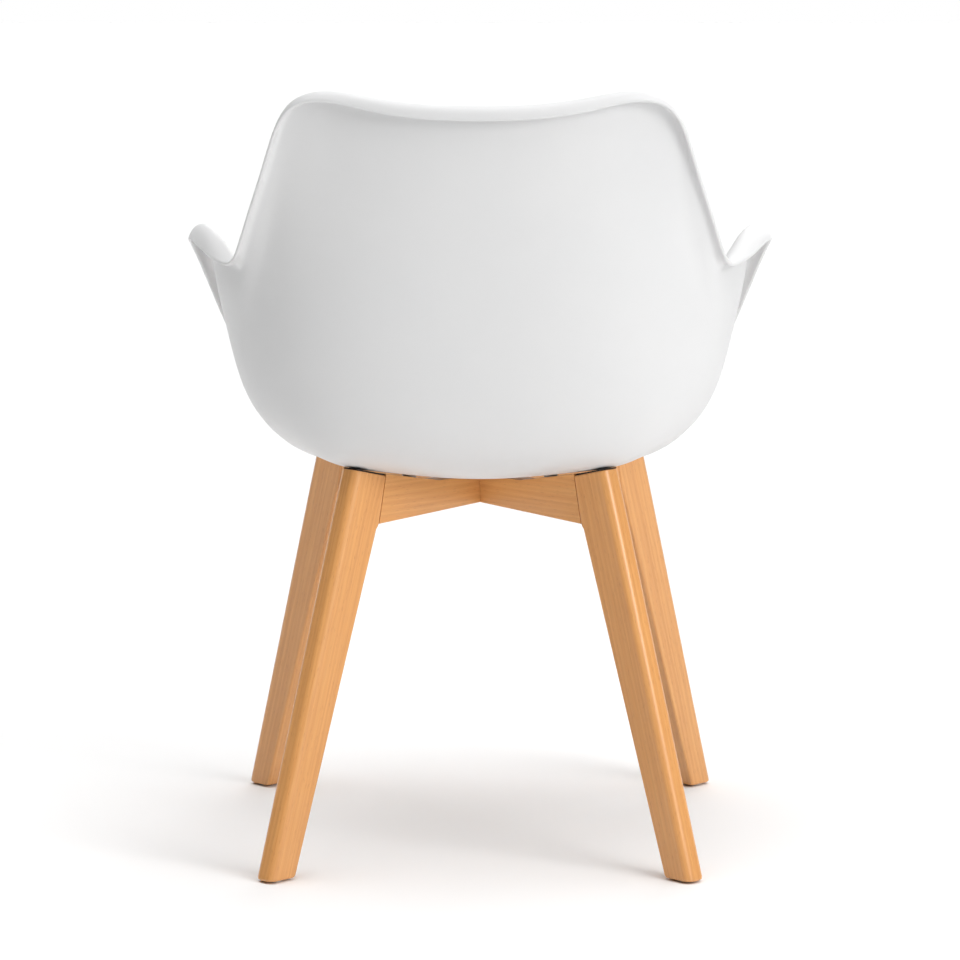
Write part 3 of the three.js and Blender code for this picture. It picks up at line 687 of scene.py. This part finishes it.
def swell(piece):
    """Cloth under pressure; the underside and, more softly, the edge seam stay where they are."""
    mesh = piece.data
    rest = np.array([v.co for v in mesh.vertices])
    held = piece.vertex_groups.new(name="held")
    for vertex in mesh.vertices:
        downward = max(0.0, -vertex.normal.z)
        near_seam = math.exp(-(((vertex.co.z - PAD_SEAM_Z) / SEAM_BAND) ** 2))
        sideways = 1 - abs(vertex.normal.z)
        underside = min(1.0, downward * 2.2)
        seam_hold = SEAM_HOLD * near_seam * min(1.0, sideways * 1.6)
        held.add([vertex.index], max(underside, seam_hold), "REPLACE")
    cloth = piece.modifiers.new("cloth", "CLOTH")
    cloth.settings.quality = 6
    cloth.settings.mass = 0.25
    cloth.settings.tension_stiffness = 22
    cloth.settings.compression_stiffness = 22
    cloth.settings.shear_stiffness = 14
    cloth.settings.bending_stiffness = 3.0
    cloth.settings.use_pressure = True
    cloth.settings.uniform_pressure_force = 5.0
    cloth.settings.vertex_group_mass = "held"
    cloth.settings.effector_weights.gravity = 0.0
    cloth.collision_settings.use_self_collision = False
    cloth.point_cache.frame_start = 1
    cloth.point_cache.frame_end = SWELL_FRAMES
    for number in range(1, SWELL_FRAMES + 1):
        bpy.context.scene.frame_set(number)
    apply_modifiers(piece)
    bpy.context.scene.frame_set(1)
    moved = np.array([v.co for v in piece.data.vertices])
    shift = moved - rest
    distance = np.linalg.norm(shift, axis=1, keepdims=True)
    limited = PAD_SWELL_LIMIT * np.tanh(distance / PAD_SWELL_LIMIT)
    final = rest + shift * np.where(distance > 1e-9, limited / np.maximum(distance, 1e-9), 0)
    piece.data.vertices.foreach_set("co", final.ravel())
    piece.data.update()


def settle(piece):
    """Evens out the voxel steps and adds one subdivision."""
    smooth = piece.modifiers.new("settle", "SMOOTH")
    smooth.factor = 0.5
    smooth.iterations = SETTLE_ROUNDS
    apply_modifiers(piece)
    piece.modifiers.new("finer", "SUBSURF").levels = 1
    apply_modifiers(piece)


def surface_of(piece):
    """The piece's surface, for finding points on it."""
    return BVHTree.FromObject(piece, bpy.context.evaluated_depsgraph_get())


def seam_ring(tree):
    """Evenly spaced points where the side of the pad is met from outside at the seam's height."""
    hits = []
    for i in range(SEAM_POINTS * 2):
        a = math.pi * i / SEAM_POINTS
        away = Vector((math.cos(a), math.sin(a), 0))
        start = Vector((pad_middle.x, pad_middle.y, PAD_SEAM_Z)) + away * 0.5
        hit = tree.ray_cast(start, -away)
        hits.append(np.array(hit[0]))
    hits = np.array(hits)
    for _ in range(6):
        hits = (np.roll(hits, 1, 0) + 2 * hits + np.roll(hits, -1, 0)) / 4
    return even_points(hits, SEAM_POINTS)


def even_points(points, count):
    """Resamples a closed path at even steps."""
    closed = np.concatenate([points, points[:1]])
    run = np.concatenate([[0], np.cumsum(np.linalg.norm(np.diff(closed, axis=0), axis=1))])
    want = np.arange(count) * run[-1] / count
    return np.stack([np.interp(want, run, closed[:, c]) for c in range(3)], -1)


def closed_tube(name, path, radius):
    """A round cord laid along a closed path that stays nearly level."""
    count = len(path)
    ahead = unit(np.roll(path, -1, 0) - np.roll(path, 1, 0))
    up = np.tile(np.array([0.0, 0.0, 1.0]), (count, 1))
    side = unit(np.cross(ahead, up))
    up = np.cross(side, ahead)
    points = []
    for i in range(count):
        for k in range(PIPING_SIDES):
            a = 2 * math.pi * k / PIPING_SIDES
            points.append(path[i] + radius * (side[i] * math.cos(a) + up[i] * math.sin(a)))
    faces = []
    for i in range(count):
        for k in range(PIPING_SIDES):
            a = i * PIPING_SIDES
            b = (i + 1) % count * PIPING_SIDES
            after = (k + 1) % PIPING_SIDES
            faces.append((a + k, b + k, b + after, a + after))
    return mesh_of(name, points, faces)


def pucker(piece, ring):
    """Fine gathers where the cover is pulled into the seam, fading out over a finger's width."""
    mesh = piece.data
    points = np.array([v.co for v in mesh.vertices])
    normals = np.array([v.normal for v in mesh.vertices])
    flat = ring[:, :2]
    moved = points.copy()
    for index, point in enumerate(points):
        if point[2] < PAD_SEAM_Z - PUCKER_REACH * 0.75:
            continue
        gaps = np.hypot(flat[:, 0] - point[0], flat[:, 1] - point[1])
        nearest = int(gaps.argmin())
        reach = math.exp(-((gaps[nearest] / PUCKER_REACH) ** 2))
        along = nearest / len(ring) * PUCKER_TURNS
        height = 0.6 + 0.4 * math.sin(along * 0.13 + 1.0)
        wave = height * math.sin(along + 2.2 * math.sin(along * 0.37))
        moved[index] += normals[index] * wave * reach * PUCKER_DEPTH
    mesh.vertices.foreach_set("co", moved.ravel())
    mesh.update()


def stitches(tree, ring):
    """Short threads on the top panel, just inside the piping."""
    count = int(np.linalg.norm(np.roll(ring, -1, 0) - ring, axis=1).sum() / STITCH_STEP)
    path = even_points(ring, count)
    points = []
    faces = []
    sides = STITCH_SIDES
    for i in range(count):
        ahead = unit(path[(i + 1) % count] - path[i - 1])
        inward = np.array([-ahead[1], ahead[0], 0.0])
        over = path[i] + inward * STITCH_INSET
        hit = tree.ray_cast(Vector((over[0], over[1], pad_high.z + 0.1)), Vector((0, 0, -1)))
        centre = np.array(hit[0])
        up = np.array(hit[1])
        lengthwise = unit(ahead - up * np.dot(ahead, up))
        side = np.cross(up, lengthwise)
        base = len(points)
        for at, thick, lift in STITCH_RINGS:
            middle = centre + lengthwise * STITCH_LENGTH * at + up * STITCH_RADIUS * lift
            for k in range(sides):
                a = 2 * math.pi * k / sides
                points.append(middle + STITCH_RADIUS * thick * (side * math.cos(a) + up * math.sin(a)))
        for r in range(len(STITCH_RINGS) - 1):
            for k in range(sides):
                one = base + r * sides
                two = one + sides
                faces.append((one + k, one + (k + 1) % sides, two + (k + 1) % sides, two + k))
        faces.append(tuple(base + k for k in reversed(range(sides))))
        top = base + (len(STITCH_RINGS) - 1) * sides
        faces.append(tuple(top + k for k in range(sides)))
    return mesh_of("stitches", points, faces)


pad = start_pad()
swell(pad)
settle(pad)
seam = seam_ring(surface_of(pad))
pucker(pad, seam)
leather = imitation_leather()
pad.data.materials.append(leather)
pad.data.shade_smooth()
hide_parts("seat_pad")
piping = new_object("pad_piping", closed_tube("pad_piping", seam, PIPING_RADIUS))
piping.data.materials.append(leather)
thread = new_object("pad_stitches", stitches(surface_of(pad), seam))
thread.data.materials.append(
    plain_material("thread", (0.56, 0.55, 0.52), 0.7, grain=3000.0, depth=0.00003))
for piece in (pad, piping, thread):
    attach(piece, "root")


# ---- camera, floor and light --------------------------------------------------------------------
SENSOR_WIDTH = 36.0
FOCAL_PER_WIDTH = 3.87  # focal length over picture width
CAMERA_DISTANCE = 3.9973  # straight behind the chair
CAMERA_HEIGHT = 0.9393
CAMERA_TILT = 7.86  # degrees below level
FLOOR_REACH = 60

camera_data = bpy.data.cameras.new("camera")
camera_data.sensor_width = SENSOR_WIDTH
camera_data.lens = SENSOR_WIDTH * FOCAL_PER_WIDTH
camera_data.clip_end = 200.0
camera = bpy.data.objects.new("camera", camera_data)
camera.location = (0, CAMERA_DISTANCE, CAMERA_HEIGHT)
camera.rotation_euler = (math.radians(90 - CAMERA_TILT), 0, math.radians(180))
bpy.context.scene.collection.objects.link(camera)
bpy.context.scene.camera = camera

floor_corners = [(FLOOR_REACH * x, FLOOR_REACH * y, 0) for x, y in ((-1, -1), (1, -1), (1, 1), (-1, 1))]
floor = new_object("floor", mesh_of("floor", floor_corners, [(0, 1, 2, 3)]))
floor_look = Nodes("floor", (0.90, 0.90, 0.90), 0.9)
floor_look.shader.inputs["Specular IOR Level"].default_value = 0.0
floor.data.materials.append(floor_look.material)


def soft_box(name, at, towards, side, power):
    """A square lamp near the chair, which makes the light fall off across it."""
    data = bpy.data.lights.new(name, "AREA")
    data.size = side
    data.energy = power
    lamp = bpy.data.objects.new(name, data)
    lamp.location = at
    lamp.rotation_euler = (Vector(towards) - Vector(at)).to_track_quat("-Z", "Y").to_euler()
    bpy.context.scene.collection.objects.link(lamp)


def sun_light(name, direction, spread, strength):
    """Light from far away, so that the whole floor is evenly lit; spread is its width in degrees."""
    data = bpy.data.lights.new(name, "SUN")
    data.energy = strength
    data.angle = math.radians(spread)
    lamp = bpy.data.objects.new(name, data)
    lamp.rotation_euler = (-Vector(direction)).to_track_quat("-Z", "Y").to_euler()
    bpy.context.scene.collection.objects.link(lamp)


soft_box("near_key", (-1.8, 1.7, 1.4), (0, 0, 0.5), 1.0, 19.5)
sun_light("key", (-0.60, 0.62, 0.48), 40.0, 0.80)
sun_light("fill", (-0.20, -0.90, 0.38), 36.0, 0.60)

# Studio surround: a wide soft light overhead that fades out towards the horizon. The camera sees
# plain white, and so do reflections of the backdrop beyond the chair. Places are on a sphere of
# radius one around the chair.
OVERHEAD_STRENGTH = 2.8
OVERHEAD_EDGE = 0.6  # height where the overhead light begins
BACKDROP_EDGE = -0.35  # place along Y where the backdrop begins
BACKDROP_FULL = -0.75  # and where it is fully white
world = bpy.data.worlds.new("studio")
bpy.context.scene.world = world
world.use_nodes = True
surround = world.node_tree
direction = surround.nodes.new("ShaderNodeSeparateXYZ")
surround.links.new(surround.nodes.new("ShaderNodeTexCoord").outputs["Generated"], direction.inputs[0])
overhead = surround.nodes.new("ShaderNodeMapRange")
overhead.inputs["From Min"].default_value = OVERHEAD_EDGE
overhead.inputs["To Max"].default_value = OVERHEAD_STRENGTH
surround.links.new(direction.outputs["Z"], overhead.inputs["Value"])
seen = surround.nodes.new("ShaderNodeMix")
path = surround.nodes.new("ShaderNodeLightPath")
backdrop = surround.nodes.new("ShaderNodeMapRange")
backdrop.inputs["From Min"].default_value = BACKDROP_EDGE
backdrop.inputs["From Max"].default_value = BACKDROP_FULL
surround.links.new(direction.outputs["Y"], backdrop.inputs["Value"])
mirrored = surround.nodes.new("ShaderNodeMath")
mirrored.operation = "MULTIPLY"
surround.links.new(path.outputs["Is Glossy Ray"], mirrored.inputs[0])
surround.links.new(backdrop.outputs[0], mirrored.inputs[1])
white = surround.nodes.new("ShaderNodeMath")
white.operation = "MAXIMUM"
surround.links.new(path.outputs["Is Camera Ray"], white.inputs[0])
surround.links.new(mirrored.outputs[0], white.inputs[1])
surround.links.new(white.outputs[0], seen.inputs[0])
surround.links.new(overhead.outputs[0], seen.inputs[2])
seen.inputs[3].default_value = 1.0
surround.links.new(seen.outputs[0], surround.nodes["Background"].inputs["Strength"])
surround.nodes["Background"].inputs["Color"].default_value = (1, 1, 1, 1)

bpy.context.scene.view_settings.view_transform = "Standard"
